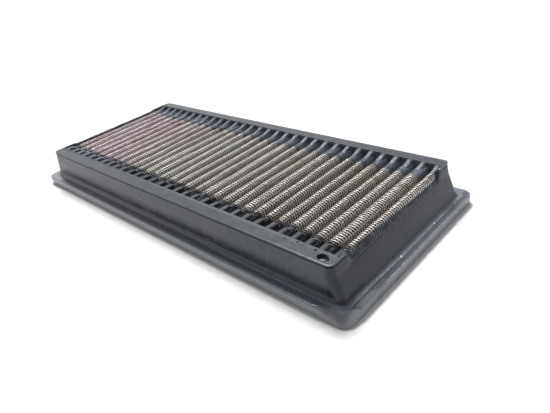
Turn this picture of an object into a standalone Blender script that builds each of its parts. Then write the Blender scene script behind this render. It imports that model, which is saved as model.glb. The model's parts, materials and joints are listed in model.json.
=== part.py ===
"""Drop-in panel air filter for a motorcycle airbox, as a bench assembly of separate solids.

A moulded urethane frame (sealing flange, flared wall, rim and comb fingers) holds a pleated pack.
The pack is four plies of oiled cotton gauze between two wire screens, folded together into ridges
that run across the filter. A strip of urethane potting inside each long wall grips the pack's ends.

Frame of reference: origin at the centre of the flange's underside, +X along the filter's length,
+Y across it, +Z from the flange towards the rim. Every length below is in metres.
"""

import math

import bmesh
import bpy
from mathutils import Vector

MM = 0.001

# Sealing flange
LENGTH = 302.0 * MM
WIDTH = 131.0 * MM
FLANGE_RADIUS = 6.0 * MM
FLANGE_EDGE_BREAK = 0.6 * MM
LAND_HEIGHT = 6.1 * MM
SHOULDER_HEIGHT = 6.8 * MM
SHOULDER_INSET_X = 3.3 * MM
SHOULDER_INSET_Y = 4.6 * MM

# Wall and rim
HEIGHT = 27.2 * MM
RIM_LENGTH = 277.2 * MM
RIM_WIDTH = 116.2 * MM
RIM_EDGE_BREAK = 0.5 * MM
CORNER_RADIUS = 3.6 * MM
WALL_BASE_LENGTH = 289.0 * MM
WALL_BASE_WIDTH = 118.6 * MM
WALL_FILLET = 0.8 * MM
LEDGE_HEIGHT = 20.0 * MM
LEDGE_FLARE = 0.5 * MM
OPENING_WIDTH = 101.4 * MM
LIP_THICKNESS = 1.6 * MM
CHANNEL_WIDTH = 110.8 * MM
INNER_RADIUS = 0.8 * MM
END_WINDOW_WIDTH = 85.0 * MM
RIGHT_WALL_TOP = 21.5 * MM
LEFT_WALL_TOP = 26.2 * MM
CORNER_STEPS = 4

# Pleated pack
RIDGES = 31
PITCH = 9.0 * MM
PACK_BOTTOM = 2.0 * MM
PACK_TOP = 25.2 * MM
PACK_WIDTH = 107.4 * MM
SCREEN_THICKNESS = 0.3 * MM
PLY_THICKNESS = 0.1 * MM
PLY_COUNT = 4
PLY_GAP = 0.15 * MM
FOLD_HALF_WIDTH = 1.15 * MM
FOLD_RISE = 0.6 * MM

# Comb fingers and potting
FINGER_WIDTH = 4.0 * MM
FINGER_LENGTH = 8.4 * MM
FINGER_SINK = 0.6 * MM
FINGER_EDGE_BREAK = 0.35 * MM
CLEARANCE = 0.3 * MM
END_CLEARANCE = 0.42 * MM
POTTING_BACK = 1.1 * MM

LAYER_STACK = (
    [("lower_wire_screen", SCREEN_THICKNESS)]
    + [(f"cotton_gauze_ply_{n + 1}", PLY_THICKNESS) for n in range(PLY_COUNT)]
    + [("upper_wire_screen", SCREEN_THICKNESS)]
)
PACK_THICKNESS = sum(t for _, t in LAYER_STACK) + PLY_GAP * (len(LAYER_STACK) - 1)


def clear_scene():
    for obj in list(bpy.data.objects):
        bpy.data.objects.remove(obj, do_unlink=True)


def material(name, color, roughness, metallic=0.0):
    mat = bpy.data.materials.new(name)
    mat.use_nodes = True
    shader = mat.node_tree.nodes["Principled BSDF"]
    shader.inputs["Base Color"].default_value = (*color, 1.0)
    shader.inputs["Roughness"].default_value = roughness
    shader.inputs["Metallic"].default_value = metallic
    mat.diffuse_color = (*color, 1.0)
    return mat


def add_object(name, bm, mat):
    """A new object holding bm's mesh, its faces pointing out."""
    bmesh.ops.recalc_face_normals(bm, faces=bm.faces)
    mesh = bpy.data.meshes.new(name)
    bm.to_mesh(mesh)
    bm.free()
    mesh.materials.append(mat)
    obj = bpy.data.objects.new(name, mesh)
    bpy.context.scene.collection.objects.link(obj)
    return obj


def smooth(obj, degrees=30.0):
    obj.data.shade_smooth()
    obj.data.set_sharp_from_angle(angle=math.radians(degrees))


def apply_boolean(obj, other, operation):
    """Joins or cuts obj with other, and removes other."""
    modifier = obj.modifiers.new(operation.lower(), "BOOLEAN")
    modifier.operation = operation
    modifier.solver = "EXACT"
    modifier.use_self = False
    modifier.object = other
    bpy.context.view_layer.update()
    evaluated = obj.evaluated_get(bpy.context.evaluated_depsgraph_get())
    mesh = bpy.data.meshes.new_from_object(evaluated)
    obj.modifiers.clear()
    obj.data = mesh
    bpy.data.objects.remove(other, do_unlink=True)


def rounded_loop(bm, half_x, half_y, radius, z):
    """Vertices of a rounded rectangle at height z, counter-clockwise from +X."""
    verts = []
    for corner, (sx, sy) in enumerate(((1, 1), (-1, 1), (-1, -1), (1, -1))):
        centre = Vector((sx * (half_x - radius), sy * (half_y - radius), z))
        for step in range(CORNER_STEPS + 1):
            angle = math.pi / 2 * (corner + step / CORNER_STEPS)
            offset = Vector((math.cos(angle), math.sin(angle), 0.0)) * radius
            verts.append(bm.verts.new(centre + offset))
    return verts


def bridge(bm, lower, upper):
    count = len(lower)
    for i in range(count):
        j = (i + 1) % count
        bm.faces.new((lower[i], lower[j], upper[j], upper[i]))


def box(bm, low, high):
    """A box between two corners."""
    size = Vector(high) - Vector(low)
    made = bmesh.ops.create_cube(bm, size=1.0)
    bmesh.ops.scale(bm, vec=size, verts=made["verts"])
    bmesh.ops.translate(bm, vec=(Vector(low) + Vector(high)) / 2, verts=made["verts"])
    return made["verts"]


def pack_centreline():
    """Points (x, z) of the pack's middle surface, from the foot of one end flank to the other's.

    Each fold is a peak between two shoulders, so a ridge's crown is rounded and not flat.
    """
    crest = PACK_TOP - PACK_THICKNESS / 2
    trough = PACK_BOTTOM + PACK_THICKNESS / 2
    points = []
    for fold in range(2 * RIDGES + 1):
        x = (fold - RIDGES) * PITCH / 2
        is_ridge = fold % 2 == 1
        peak = crest if is_ridge else trough
        shoulder = peak - FOLD_RISE if is_ridge else peak + FOLD_RISE
        points += [
            Vector((x - FOLD_HALF_WIDTH, shoulder)),
            Vector((x, peak)),
            Vector((x + FOLD_HALF_WIDTH, shoulder)),
        ]
    # Both end flanks stop at the shoulder of their last trough.
    return points[2:-2]


def offset_line(points, distance):
    """The line moved sideways by distance, to its left, with mitred corners."""
    moved = []
    for i, point in enumerate(points):
        before = (point - points[i - 1]).normalized() if i else None
        after = (points[i + 1] - point).normalized() if i + 1 < len(points) else None
        before = before or after
        after = after or before
        normal_before = Vector((-before.y, before.x))
        normal_after = Vector((-after.y, after.x))
        mitre = (normal_before + normal_after).normalized()
        moved.append(point + mitre * (distance / mitre.dot(normal_after)))
    return moved


def pleated_sheet(bm, low, high, half_width):
    """A closed pleated sheet between two offsets from the pack's middle surface."""
    line = pack_centreline()
    under = offset_line(line, low)
    over = offset_line(line, high)
    rings = []
    for a, b in zip(under, over):
        rings.append(
            [
                bm.verts.new((a.x, -half_width, a.y)),
                bm.verts.new((a.x, half_width, a.y)),
                bm.verts.new((b.x, half_width, b.y)),
                bm.verts.new((b.x, -half_width, b.y)),
            ]
        )
    for first, second in zip(rings, rings[1:]):
        bridge(bm, first, second)
    bm.faces.new(rings[0])
    bm.faces.new(rings[-1])


def end_flank_x(z):
    """How far out the pack's end flank reaches at height z, with clearance."""
    top = (RIDGES - 1) * PITCH / 2 + FOLD_HALF_WIDTH
    foot = RIDGES * PITCH / 2 - FOLD_HALF_WIDTH
    share = (PACK_TOP - z) / (PACK_TOP - PACK_BOTTOM)
    return top + share * (foot - top) + PACK_THICKNESS / 2 + END_CLEARANCE


def frame_ring(bm):
    """Flange, wall and rim as one ring: loops up the outside, over the rim and down the inside."""
    half_x, half_y = LENGTH / 2, WIDTH / 2
    rim_x, rim_y = RIM_LENGTH / 2, RIM_WIDTH / 2
    base_x, base_y = WALL_BASE_LENGTH / 2, WALL_BASE_WIDTH / 2
    opening_y, channel_y = OPENING_WIDTH / 2, CHANNEL_WIDTH / 2
    cut, rim_cut = FLANGE_EDGE_BREAK, RIM_EDGE_BREAK
    lip_low, lip_high = LIP_THICKNESS, HEIGHT - LIP_THICKNESS
    outside = [
        (half_x - cut, half_y - cut, FLANGE_RADIUS - cut, 0.0),
        (half_x, half_y, FLANGE_RADIUS, cut),
        (half_x, half_y, FLANGE_RADIUS, LAND_HEIGHT - cut),
        (half_x - cut, half_y - cut, FLANGE_RADIUS - cut, LAND_HEIGHT),
        (half_x - SHOULDER_INSET_X, half_y - SHOULDER_INSET_Y, CORNER_RADIUS, LAND_HEIGHT),
        (
            half_x - SHOULDER_INSET_X - cut,
            half_y - SHOULDER_INSET_Y - cut,
            CORNER_RADIUS,
            SHOULDER_HEIGHT,
        ),
        (base_x + WALL_FILLET, base_y + WALL_FILLET / 2, CORNER_RADIUS, SHOULDER_HEIGHT),
        (base_x, base_y, CORNER_RADIUS, SHOULDER_HEIGHT + WALL_FILLET),
        (rim_x + LEDGE_FLARE, rim_y + LEDGE_FLARE, CORNER_RADIUS, LEDGE_HEIGHT),
        (rim_x, rim_y, CORNER_RADIUS, HEIGHT - rim_cut),
        (rim_x - rim_cut, rim_y - rim_cut, CORNER_RADIUS - rim_cut, HEIGHT),
    ]
    inside = [
        (end_flank_x(HEIGHT), opening_y, INNER_RADIUS, HEIGHT),
        (end_flank_x(lip_high), opening_y, INNER_RADIUS, lip_high),
        (end_flank_x(lip_high) + CLEARANCE, channel_y, INNER_RADIUS, lip_high),
        (end_flank_x(lip_low) + CLEARANCE, channel_y, INNER_RADIUS, lip_low),
        (end_flank_x(HEIGHT), opening_y, INNER_RADIUS, lip_low),
        (end_flank_x(HEIGHT), opening_y, INNER_RADIUS, 0.0),
    ]
    loops = [rounded_loop(bm, *section) for section in outside + inside]
    for lower, upper in zip(loops, loops[1:] + loops[:1]):
        bridge(bm, lower, upper)


def finger(bm, x, side, low, high):
    """One comb finger that reaches from a long wall over a fold, its long edges broken."""
    root = side * (OPENING_WIDTH / 2 + 2.0 * CLEARANCE)
    tip = side * (OPENING_WIDTH / 2 - FINGER_LENGTH)
    half = FINGER_WIDTH / 2
    verts = box(bm, (x - half, min(root, tip), low), (x + half, max(root, tip), high))
    is_upper = high > HEIGHT / 2
    face_z = high if is_upper else low
    edges = {
        edge
        for vert in verts
        for edge in vert.link_edges
        if all(abs(v.co.z - face_z) < 1e-7 for v in edge.verts)
        and abs(edge.verts[0].co.x - edge.verts[1].co.x) < 1e-7
    }
    bmesh.ops.bevel(
        bm, geom=sorted(edges, key=lambda e: e.verts[0].co.x), offset=FINGER_EDGE_BREAK, segments=1
    )


def comb_fingers(bm):
    """Fingers over every ridge at the rim, and over every trough at the underside."""
    upper_low = PACK_TOP + CLEARANCE
    lower_high = PACK_BOTTOM - CLEARANCE
    for side in (-1, 1):
        for ridge in range(RIDGES):
            x = (ridge - (RIDGES - 1) / 2) * PITCH
            finger(bm, x, side, upper_low, HEIGHT - FINGER_SINK)
        for trough in range(RIDGES - 1):
            x = (trough - (RIDGES - 2) / 2) * PITCH
            finger(bm, x, side, FINGER_SINK, lower_high)


def urethane_frame(mat):
    """The moulded frame: ring and comb fingers, its end walls lowered between the rim's corners.

    The right wall stops well short of the rim and bares the last ridge; the left one hardly does.
    """
    bm = bmesh.new()
    frame_ring(bm)
    frame = add_object("urethane_frame", bm, mat)

    bm = bmesh.new()
    comb_fingers(bm)
    apply_boolean(frame, add_object("finger_guide", bm, mat), "UNION")

    bm = bmesh.new()
    inner_x = (RIDGES - 1) * PITCH / 2 + FINGER_WIDTH / 2 + CLEARANCE / 2
    for side, wall_top in ((-1, LEFT_WALL_TOP), (1, RIGHT_WALL_TOP)):
        xs = sorted((side * inner_x, side * LENGTH / 2))
        box(
            bm,
            (xs[0], -END_WINDOW_WIDTH / 2, wall_top),
            (xs[1], END_WINDOW_WIDTH / 2, HEIGHT + CLEARANCE),
        )
    apply_boolean(frame, add_object("window_guide", bm, mat), "DIFFERENCE")
    smooth(frame)
    return frame


def edge_potting(name, side, mat):
    """The strip inside one long wall, with a blind slot shaped like the pack's folded end."""
    bm = bmesh.new()
    inner = OPENING_WIDTH / 2 + 2.0 * CLEARANCE
    outer = CHANNEL_WIDTH / 2 - CLEARANCE
    low, high = LIP_THICKNESS + CLEARANCE, HEIGHT - LIP_THICKNESS - CLEARANCE
    foot_x, top_x = end_flank_x(low) - CLEARANCE, end_flank_x(high) - CLEARANCE
    rings = []
    for y in sorted((side * inner, side * outer)):
        corners = ((-foot_x, low), (foot_x, low), (top_x, high), (-top_x, high))
        rings.append([bm.verts.new((x, y, z)) for x, z in corners])
    bridge(bm, rings[0], rings[1])
    bm.faces.new(rings[0])
    bm.faces.new(rings[1])
    strip = add_object(name, bm, mat)

    bm = bmesh.new()
    reach = PACK_THICKNESS / 2 + CLEARANCE
    pleated_sheet(bm, -reach, reach, outer - POTTING_BACK)
    apply_boolean(strip, add_object("slot_guide", bm, mat), "DIFFERENCE")
    return strip


def pleated_layers(screen_mat, gauze_mat):
    """The two screens and the gauze plies, nested with a small gap between neighbours."""
    low = -PACK_THICKNESS / 2
    for name, thickness in LAYER_STACK:
        bm = bmesh.new()
        pleated_sheet(bm, low, low + thickness, PACK_WIDTH / 2)
        add_object(name, bm, screen_mat if "screen" in name else gauze_mat)
        low += thickness + PLY_GAP


def build():
    clear_scene()
    frame_mat = material("moulded_urethane", (0.060, 0.066, 0.078), 0.55)
    potting_mat = material("potting_urethane", (0.018, 0.019, 0.022), 0.40)
    screen_mat = material("aluminium_wire", (0.62, 0.60, 0.54), 0.38, 0.9)
    gauze_mat = material("oiled_cotton", (0.42, 0.30, 0.27), 0.85)
    urethane_frame(frame_mat)
    edge_potting("front_edge_potting", -1, potting_mat)
    edge_potting("rear_edge_potting", 1, potting_mat)
    pleated_layers(screen_mat, gauze_mat)


build()
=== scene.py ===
"""Looks of the panel air filter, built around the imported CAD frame.

The pleated pack is rebuilt as two screens of woven wire over four plies of gauze, the moulded
frame as a fine mesh with its comb of fingers, and the soaked black edges as skins over the pleats.
Lengths are in metres, in the CAD's own frame: +X along the filter, +Y across it, +Z up.
"""

import json
import math

import bmesh
import bpy
import numpy as np
from mathutils import Matrix, Vector

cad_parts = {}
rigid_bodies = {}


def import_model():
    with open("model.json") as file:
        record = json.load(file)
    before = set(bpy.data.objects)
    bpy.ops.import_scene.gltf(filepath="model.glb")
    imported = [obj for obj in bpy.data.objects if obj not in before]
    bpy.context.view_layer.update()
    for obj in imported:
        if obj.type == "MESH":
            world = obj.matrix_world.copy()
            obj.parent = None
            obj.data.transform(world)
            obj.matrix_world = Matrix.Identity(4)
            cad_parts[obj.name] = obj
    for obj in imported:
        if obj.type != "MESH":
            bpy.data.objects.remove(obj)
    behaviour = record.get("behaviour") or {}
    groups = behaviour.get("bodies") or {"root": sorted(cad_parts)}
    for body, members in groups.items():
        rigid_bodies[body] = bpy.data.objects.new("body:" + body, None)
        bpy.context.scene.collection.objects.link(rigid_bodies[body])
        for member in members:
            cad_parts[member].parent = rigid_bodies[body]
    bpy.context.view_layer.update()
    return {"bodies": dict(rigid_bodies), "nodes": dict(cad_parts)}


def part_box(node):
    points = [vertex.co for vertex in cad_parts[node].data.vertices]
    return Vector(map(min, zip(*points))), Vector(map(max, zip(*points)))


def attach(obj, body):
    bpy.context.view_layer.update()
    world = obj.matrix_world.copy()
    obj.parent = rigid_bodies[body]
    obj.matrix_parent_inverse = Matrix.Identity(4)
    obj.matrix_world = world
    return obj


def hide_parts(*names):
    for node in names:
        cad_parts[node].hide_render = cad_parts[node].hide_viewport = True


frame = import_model()

MM = 0.001
RNG = np.random.default_rng(14)
BODY = next(iter(frame["bodies"]))

# Places read from the frame
FRAME_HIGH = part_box("urethane_frame")[1]
HALF_X, HALF_Y, HEIGHT = FRAME_HIGH
PACK_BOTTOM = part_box("lower_wire_screen")[0].z
PACK_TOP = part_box("upper_wire_screen")[1].z
PACK_HALF_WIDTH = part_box("upper_wire_screen")[1].y
STRIP_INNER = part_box("rear_edge_potting")[0].y
OPENING_HALF = STRIP_INNER - 0.6 * MM

# Pleats
RIDGES = 31
FOLDS = 2 * RIDGES
PITCH = 9.0 * MM
PACK_THICKNESS = 1.75 * MM
FOLD_RADIUS = 1.15 * MM
PLY_THICKNESS = 0.1 * MM
PLY_OFFSETS = [(-0.375 + 0.25 * n) * MM for n in range(4)]
SCREEN_OFFSET = 0.725 * MM

# Woven wire: 14 wires to the inch across the pleats' length, 18 to the inch along the slope
SLOPE_WIRE_RADIUS = 0.36 * MM
SLOPE_WIRE_CRIMP = 0.08 * MM
SLOPE_WIRE_RISE = 0.12 * MM
RIDGE_WIRE_RADIUS = 0.14 * MM
RIDGE_WIRE_CRIMP = 0.17 * MM
WIRE_STEP_Y = 25.4 / 14 * MM
WIRE_STEP_S = 25.4 / 18 * MM
WIRE_SIDES = 4
WIRE_JITTER = 0.05 * MM
WIRE_DRIFT = 0.12 * MM


# ---------------------------------------------------------------- mesh helpers


def mesh_object(name, verts, faces, mat, smooth=True):
    """An object from an (n, 3) array of points and a list of (m, k) arrays of faces."""
    mesh = bpy.data.meshes.new(name)
    verts = np.ascontiguousarray(verts, np.float32)
    mesh.vertices.add(len(verts))
    mesh.vertices.foreach_set("co", verts.ravel())
    loops = np.concatenate([np.asarray(f, np.int32).ravel() for f in faces])
    sizes = np.concatenate([np.full(len(f), np.asarray(f).shape[1], np.int32) for f in faces])
    starts = np.concatenate([[0], np.cumsum(sizes)[:-1]]).astype(np.int32)
    mesh.loops.add(len(loops))
    mesh.loops.foreach_set("vertex_index", loops)
    mesh.polygons.add(len(sizes))
    mesh.polygons.foreach_set("loop_start", starts)
    mesh.polygons.foreach_set("use_smooth", np.full(len(sizes), smooth))
    mesh.update(calc_edges=True)
    mesh.validate()
    mesh.materials.append(mat)
    obj = bpy.data.objects.new(name, mesh)
    bpy.context.scene.collection.objects.link(obj)
    return obj


def piece(obj, slot, *replaced):
    """Makes obj ride with the filter, standing for some CAD nodes, which it hides; slot is not used.
    """
    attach(obj, BODY)
    if replaced:
        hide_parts(*replaced)
    return obj


def grid_faces(rows, columns, first=0, flip=False, wrap=False):
    """Quads of a rows by columns grid of points, the columns closed into a ring if wrap."""
    index = first + np.arange(rows * columns).reshape(rows, columns)
    if wrap:
        index = np.hstack([index, index[:, :1]])
    a, b = index[:-1, :-1].ravel(), index[:-1, 1:].ravel()
    c, d = index[1:, 1:].ravel(), index[1:, :-1].ravel()
    quads = np.stack([a, b, c, d], 1)
    return quads[:, ::-1] if flip else quads


def closed_sheet(name, top, bottom, mat):
    """A closed thin sheet between two grids of points of the same size."""
    rows, columns = top.shape[:2]
    count = rows * columns
    verts = np.concatenate([top.reshape(-1, 3), bottom.reshape(-1, 3)])
    index = np.arange(count).reshape(rows, columns)
    border = np.concatenate(
        [index[0, :-1], index[:-1, -1], index[-1, :0:-1], index[:0:-1, 0]]
    )
    following = np.roll(border, -1)
    sides = np.stack([border, following, following + count, border + count], 1)
    faces = [grid_faces(rows, columns, flip=True), grid_faces(rows, columns, count), sides]
    return mesh_object(name, verts, faces, mat)


def unit(v):
    """v scaled to length one along its last axis."""
    return v / np.maximum(np.linalg.norm(v, axis=-1, keepdims=True), 1e-12)


def tubes(paths, ups, radius, sides):
    """Closed tubes along paths (wires, points, 3), with ups pointing off the surface."""
    wires, points = paths.shape[:2]
    tangent = unit(np.gradient(paths, axis=1))
    across = unit(np.cross(tangent, ups))
    up = np.cross(across, tangent)
    angles = 2 * math.pi * (np.arange(sides) + 0.5) / sides
    ring = (
        np.cos(angles)[None, None, :, None] * up[:, :, None, :]
        + np.sin(angles)[None, None, :, None] * across[:, :, None, :]
    )
    verts = (paths[:, :, None, :] + radius * ring).reshape(-1, 3)
    one = grid_faces(points, sides, wrap=True)
    starts = np.arange(wires) * points * sides
    body = (one[None] + starts[:, None, None]).reshape(-1, 4)
    head = np.arange(sides)[::-1]
    tail = (points - 1) * sides + np.arange(sides)
    caps = np.concatenate([head[None] + starts[:, None], tail[None] + starts[:, None]])
    return verts, body, caps


def lattice_noise(points, cell, seed):
    """Smooth noise from -1 to 1 at (n, 3) points, with features about one cell wide."""
    table = np.random.default_rng(seed).uniform(-1, 1, (32, 32, 32))
    scaled = points / cell
    base = np.floor(scaled).astype(int)
    part = scaled - base
    part = part * part * (3 - 2 * part)
    value = np.zeros(len(points))
    for corner in range(8):
        step = np.array([corner & 1, corner >> 1 & 1, corner >> 2 & 1])
        weight = np.prod(np.where(step, part, 1 - part), axis=1)
        i, j, k = ((base + step) % 32).T
        value += weight * table[i, j, k]
    return value


def ease(t):
    """A smooth step from 0 to 1 as t goes from 0 to 1."""
    t = np.clip(t, 0, 1)
    return t * t * (3 - 2 * t)


# ---------------------------------------------------------------- pleated surface


def flank_tilt():
    """The flanks' angle from the vertical, where they meet both folds' arcs smoothly."""
    drop = PACK_TOP - PACK_BOTTOM - PACK_THICKNESS - 2 * FOLD_RADIUS
    span = math.hypot(PITCH / 2, drop)
    return math.atan2(PITCH / 2, drop) - math.asin(2 * FOLD_RADIUS / span)


TILT = flank_tilt()
RIDGE_CENTRE_Z = PACK_TOP - PACK_THICKNESS / 2 - FOLD_RADIUS
TROUGH_CENTRE_Z = PACK_BOTTOM + PACK_THICKNESS / 2 + FOLD_RADIUS


def middle_line(arc_points=25):
    """The pack's middle line as columns x, z, normal angle and fold number.

    Even folds are troughs and odd folds are ridges. The line runs from the end of fold 0's arc to
    the start of the last fold's.
    """
    rows = []
    swing = np.linspace(math.pi - TILT, TILT, arc_points)
    for fold in range(FOLDS + 1):
        x = (fold - RIDGES) * PITCH / 2
        is_ridge = fold % 2 == 1
        angles = swing if is_ridge else swing[::-1]
        sign = 1 if is_ridge else -1
        z = RIDGE_CENTRE_Z if is_ridge else TROUGH_CENTRE_Z
        arc = np.stack(
            [
                x + sign * FOLD_RADIUS * np.cos(angles),
                z + sign * FOLD_RADIUS * np.sin(angles),
                angles,
                np.full(arc_points, float(fold)),
            ],
            1,
        )
        if fold == 0:
            arc = arc[-1:]
        if fold == FOLDS:
            arc = arc[:1]
        rows.append(arc)
    return np.concatenate(rows)


MIDDLE = middle_line()


def along(offset, step=None, count=None):
    """The middle line resampled at even steps of arc length of the layer at that offset.

    The steps are stretched a little to fit a whole number of them.
    """
    x, z, angle, _ = MIDDLE.T
    layer = np.stack([x + offset * np.cos(angle), z + offset * np.sin(angle)], 1)
    length = np.concatenate([[0], np.cumsum(np.linalg.norm(np.diff(layer, axis=0), axis=1))])
    if count is None:
        count = int(round(length[-1] / step)) + 1
    target = np.linspace(0, length[-1], count)
    columns = [np.interp(target, length, column) for column in MIDDLE.T]
    return np.stack(columns, 1), target


WAVES = 4
WAVE_NUMBERS = 2 * math.pi / (np.array([110.0, 61.0, 37.0, 23.0]) * MM)
WAVE_PHASES = RNG.uniform(0, 2 * math.pi, (2, FOLDS + 1, WAVES))
WAVE_SIZES = RNG.uniform(0.3, 1.0, (2, FOLDS + 1, WAVES)) * np.array([0.30, 0.2, 0.12, 0.06]) * MM
WAVE_SIZES[0, [0, 1, -2, -1]] *= 0.25
WAVE_SIZES[1] *= 0.55
PUFF = np.clip(RNG.normal(0.55, 0.28, FOLDS + 1), 0.1, 1.05) * MM
PUFF[-4] = 1.25 * MM
PUFF[[0, 1, -2, -1]] = 0.15 * MM


def wander(fold, y):
    """How far the folds stray from straight, sideways and up: two (rows y, columns fold) arrays."""
    hold = ease((PACK_HALF_WIDTH - 4 * MM - np.abs(y)) / (12 * MM))[:, None]
    low = np.clip(np.floor(fold).astype(int), 0, FOLDS - 1)
    share = (fold - low)[None]
    moved = []
    for axis in range(2):
        at = []
        for index in (low, low + 1):
            phase = WAVE_PHASES[axis][index][None]
            size = WAVE_SIZES[axis][index][None]
            waves = size * np.sin(y[:, None, None] * WAVE_NUMBERS + phase)
            at.append(waves.sum(-1))
        moved.append(((1 - share) * at[0] + share * at[1]) * hold)
    moved[1] = moved[1] - 0.25 * MM * hold
    return moved


def puffed(line):
    """How far the flanks stand out sideways below each ridge's crown."""
    _, z, angle, fold = line.T
    ridge = np.clip(2 * np.floor(fold / 2 + 1e-6).astype(int) + 1, 1, FOLDS - 1)
    below = ease((z - 5 * MM) / (11 * MM))
    return PUFF[ridge] * np.cos(angle) * below


def pleat_surface(line, y, offset):
    """Points and normals, each (rows y, columns along the line, 3), of a layer of the pack."""
    x, z, angle, fold = line.T
    x = x + puffed(line)
    shift_x, shift_z = wander(fold, y)
    normal = np.stack([np.cos(angle), np.zeros_like(angle), np.sin(angle)], 1)
    normal = np.broadcast_to(normal[None], (len(y), len(x), 3))
    base = np.stack(
        [x[None] + shift_x, np.broadcast_to(y[:, None], shift_x.shape), z[None] + shift_z], -1
    )
    offset = np.broadcast_to(offset, shift_x.shape)
    return base + offset[..., None] * normal, normal


def woven_screen(name, offset, mat, groups, node, halves=2):
    """A screen of crossing wires, split into groups of wires so that no piece is too heavy.

    halves is the number of steps in which a slope wire goes from one crossing to the next.
    """
    half = PACK_HALF_WIDTH - 0.4 * MM
    out = math.copysign(1.0, offset)
    rows = int(round(2 * half / WIRE_STEP_Y))
    y_wires = (np.arange(rows) - (rows - 1) / 2) * WIRE_STEP_Y
    line, _ = along(offset, WIRE_STEP_S)
    crossings = len(line)
    fine, _ = along(offset, count=halves * (crossings - 1) + 1)

    # Wires along the slope pass over and under the ones along the ridges.
    phase = np.arange(len(fine)) / halves
    crimp = np.cos(math.pi * (phase[None] + np.arange(rows)[:, None]))
    jitter = RNG.normal(0, WIRE_JITTER, rows)
    lift = out * SLOPE_WIRE_RISE + SLOPE_WIRE_CRIMP * crimp
    paths, ups = pleat_surface(fine, y_wires + jitter, offset + lift)
    drift = WIRE_DRIFT * lattice_noise(paths.reshape(-1, 3), 14 * MM, 5).reshape(paths.shape[:2])
    paths = paths + drift[..., None] * np.array([0.0, 1.0, 0.0])
    for number, part in enumerate(np.array_split(np.arange(rows), groups)):
        verts, body, caps = tubes(paths[part], ups[part], SLOPE_WIRE_RADIUS, WIRE_SIDES)
        obj = mesh_object(f"{name}_slope_wires_{number + 1}", verts, [body, caps], mat)
        piece(obj, "aluminium_wire", *([node] if number == 0 else []))

    # Wires along the ridges.
    y_fine = np.concatenate([[-half], y_wires, [half]])
    crimp = np.cos(math.pi * (np.arange(len(y_fine))[:, None] - 1 + np.arange(crossings)[None]))
    paths, ups = pleat_surface(line, y_fine, offset - out * 0.03 * MM - RIDGE_WIRE_CRIMP * crimp)
    paths, ups = paths.transpose(1, 0, 2), ups.transpose(1, 0, 2)
    for number, part in enumerate(np.array_split(np.arange(crossings), groups)):
        verts, body, caps = tubes(paths[part], ups[part], RIDGE_WIRE_RADIUS, WIRE_SIDES)
        obj = mesh_object(f"{name}_ridge_wires_{number + 1}", verts, [body, caps], mat)
        piece(obj, "aluminium_wire")


def add_cloth_map(obj, u, v):
    """Stores a surface's own length and width coordinates, for the weave."""
    layer = obj.data.attributes.new("cloth", "FLOAT_VECTOR", "POINT")
    flat = np.stack([u.ravel(), v.ravel(), np.zeros(u.size)], 1).astype(np.float32)
    layer.data.foreach_set("vector", np.concatenate([flat, flat]).ravel())


def gauze_ply(number, offset, mat, step, rows):
    """One ply of gauze, with a point every step along the folds' line and rows of points across."""
    line, length = along(offset, step)
    y = np.linspace(-PACK_HALF_WIDTH, PACK_HALF_WIDTH, rows)
    top, _ = pleat_surface(line, y, offset + PLY_THICKNESS / 2)
    bottom, _ = pleat_surface(line, y, offset - PLY_THICKNESS / 2)
    obj = closed_sheet(f"gauze_ply_{number}", top, bottom, mat)
    grid_u, grid_v = np.meshgrid(length, y)
    add_cloth_map(obj, grid_u, grid_v)
    return piece(obj, "oiled_cotton", f"cotton_gauze_ply_{number}")


# ---------------------------------------------------------------- moulded frame

RIM_HALF_X = 138.6 * MM
RIM_HALF_Y = 58.1 * MM
BASE_HALF_X = 144.5 * MM
BASE_HALF_Y = 59.3 * MM
LAND_Z = 6.1 * MM
SHOULDER_Z = 6.8 * MM
LEDGE_Z = 20.0 * MM
LIP = 1.6 * MM
CHANNEL_HALF = 55.4 * MM
WINDOW_HALF = 42.0 * MM
WINDOW_EASE = 4.5 * MM
RIGHT_WALL_TOP = 20.9 * MM
LEFT_WALL_TOP = 26.4 * MM
FLANK_CLEARANCE = 0.42 * MM
FRONT_LIP = 1.5 * MM
NICK_DEPTH = 0.55 * MM
CORNER_SLOPE = 0.42


def end_flank_x(z):
    """How far out the pack's end flanks reach at height z, with a little clearance."""
    top = (RIDGES - 1) * PITCH / 2 + FOLD_RADIUS
    foot = RIDGES * PITCH / 2 - FOLD_RADIUS
    share = (PACK_TOP - z) / (PACK_TOP - PACK_BOTTOM)
    return top + share * (foot - top) + PACK_THICKNESS / 2 + FLANK_CLEARANCE


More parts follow.
